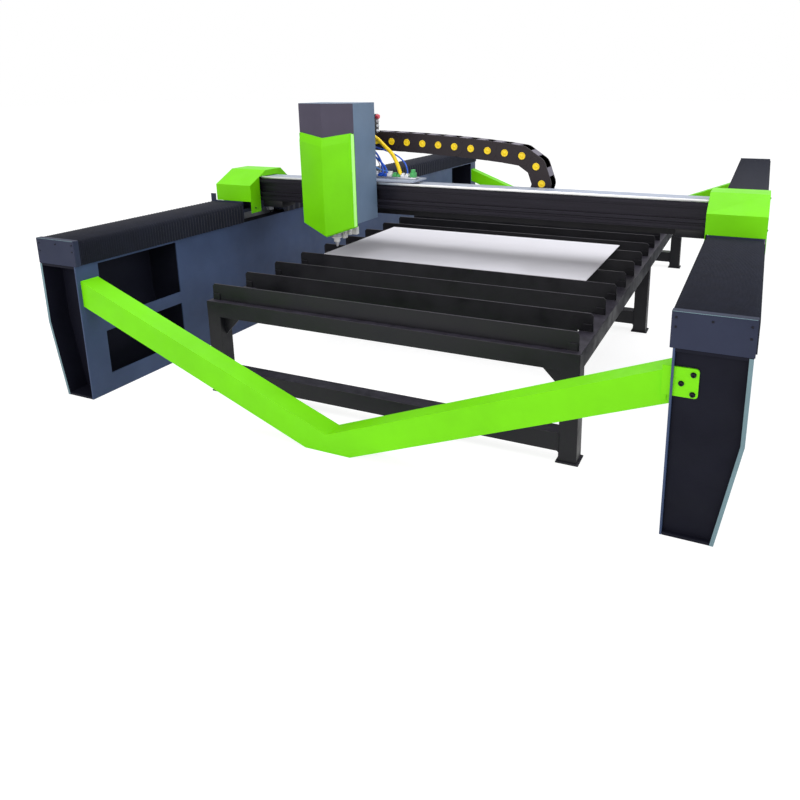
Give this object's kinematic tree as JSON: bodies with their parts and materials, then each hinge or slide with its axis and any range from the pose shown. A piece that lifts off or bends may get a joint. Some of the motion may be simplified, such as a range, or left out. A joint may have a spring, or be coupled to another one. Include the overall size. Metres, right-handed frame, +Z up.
{
  "type": "fiber_laser_cutting_machine",
  "caption": "Open gantry fibre laser cutter: twin dark runways, green V braces and end covers, slatted table, ridged head cover, drag chain",
  "frame": {"origin": "on the floor at the centre of the machine's footprint", "axes": "+X to the operator's right along the beam, +Y along the runways away from the operator, +Z up"},
  "size_m": [3.3455, 5.273, 1.468],
  "materials": {
    "runway_paint": "satin dark paint with a violet tint",
    "panel_paint": "satin slate blue paint",
    "cap_paint": "satin grey-violet paint",
    "bellows_fabric": "matt coated fabric in folds",
    "green_paint": "lime green powder coat",
    "table_paint": "black paint on tube and bar",
    "bare_sheet": "rolled sheet, slightly dull",
    "ground_steel": "ground guide rail steel",
    "beam_anodised": "black beam, smooth",
    "motor_paint": "black motor paint",
    "chain_plastic": "black moulded plastic",
    "head_aluminium": "light coated aluminium",
    "hose_yellow": "yellow gas hose",
    "head_paint": "satin dark grey paint"
  },
  "bodies": {
    "frame": {"left_runway_shell": "runway_paint", "left_runway_panel": "panel_paint", "left_guide_bed": "ground_steel", "front_left_end_cap": "cap_paint", "rear_left_end_cap": "cap_paint", "right_runway_shell": "runway_paint", "right_runway_panel": "panel_paint", "right_guide_bed": "ground_steel", "front_right_end_cap": "cap_paint", "rear_right_end_cap": "cap_paint", "front_brace": "green_paint", "rear_brace": "green_paint", "table_portal_front": "table_paint", "table_portal_middle": "table_paint", "table_portal_rear": "table_paint", "table_rail_left": "table_paint", "table_rail_right": "table_paint", "slat_01": "table_paint", "slat_02": "table_paint", "slat_03": "table_paint", "slat_04": "table_paint", "slat_05": "table_paint", "slat_06": "table_paint", "slat_07": "table_paint", "slat_08": "table_paint", "slat_09": "table_paint", "slat_10": "table_paint", "slat_11": "table_paint", "slat_12": "table_paint", "slat_13": "table_paint", "slat_14": "table_paint", "slat_15": "table_paint", "steel_sheet": "bare_sheet", "left_rear_bellows": "bellows_fabric", "right_rear_bellows": "bellows_fabric", "left_front_bellows": "bellows_fabric", "right_front_bellows": "bellows_fabric"},
    "gantry": {"gantry_beam": "beam_anodised", "cable_tray": "table_paint", "left_saddle": "cap_paint", "right_saddle": "cap_paint", "left_gantry_cover": "green_paint", "right_gantry_cover": "green_paint", "left_drive_motor": "motor_paint", "right_drive_motor": "motor_paint", "chain_lower_run": "chain_plastic"},
    "left_pinion_body": {"left_pinion": "ground_steel"},
    "right_pinion_body": {"right_pinion": "ground_steel"},
    "chain_loop_body": {"chain_loop": "chain_plastic"},
    "carriage": {"carriage_plate": "cap_paint", "head_cover": "head_paint", "head_front_panel": "green_paint", "chain_upper_run": "chain_plastic", "hose_bundle": "hose_yellow", "cross_drive_motor": "motor_paint", "lift_motor": "motor_paint"},
    "cross_pinion_body": {"cross_pinion": "ground_steel"},
    "lift_screw_body": {"lift_screw": "ground_steel"},
    "head": {"cutting_head": "head_aluminium", "nozzle": "head_aluminium"}
  },
  "joints": [
    {"name": "gantry_travel", "type": "slide", "parent": "frame", "child": "gantry", "axis": [0, 1, 0], "range_m": [-0.85, 2.7], "deforming": ["left_front_bellows", "right_front_bellows", "left_rear_bellows", "right_rear_bellows"]},
    {"name": "carriage_travel", "type": "slide", "parent": "gantry", "child": "carriage", "axis": [1, 0, 0], "range_m": [-0.45, 1.62], "deforming": ["chain_lower_run", "chain_upper_run"]},
    {"name": "head_lift", "type": "slide", "parent": "carriage", "child": "head", "axis": [0, 0, 1], "range_m": [-0.024, 0.09]},
    {"name": "chain_loop_travel", "type": "slide", "parent": "gantry", "child": "chain_loop_body", "axis": [1, 0, 0], "range_m": [-0.225, 0.81]},
    {"name": "left_pinion_spin", "type": "hinge", "parent": "gantry", "child": "left_pinion_body", "pos_m": [-1.4779, -1.0245, 0.744], "axis": [0, 0, 1], "continuous": true},
    {"name": "right_pinion_spin", "type": "hinge", "parent": "gantry", "child": "right_pinion_body", "pos_m": [1.4779, -1.0245, 0.744], "axis": [0, 0, 1], "continuous": true},
    {"name": "cross_pinion_spin", "type": "hinge", "parent": "carriage", "child": "cross_pinion_body", "pos_m": [-0.56, -1.2645, 0.9221], "axis": [0, 1, 0], "continuous": true},
    {"name": "lift_screw_spin", "type": "hinge", "parent": "carriage", "child": "lift_screw_body", "pos_m": [-0.636, -1.3615, 1.038], "axis": [0, 0, 1], "continuous": true}
  ],
  "couplings": [
    {"joint": "chain_loop_travel", "follows": "carriage_travel", "ratio": 0.5},
    {"joint": "left_pinion_spin", "follows": "gantry_travel", "rad_per_m": -49.383},
    {"joint": "right_pinion_spin", "follows": "gantry_travel", "rad_per_m": 49.383},
    {"joint": "cross_pinion_spin", "follows": "carriage_travel", "rad_per_m": 49.383},
    {"joint": "lift_screw_spin", "follows": "head_lift", "rad_per_m": 1256.6}
  ]
}
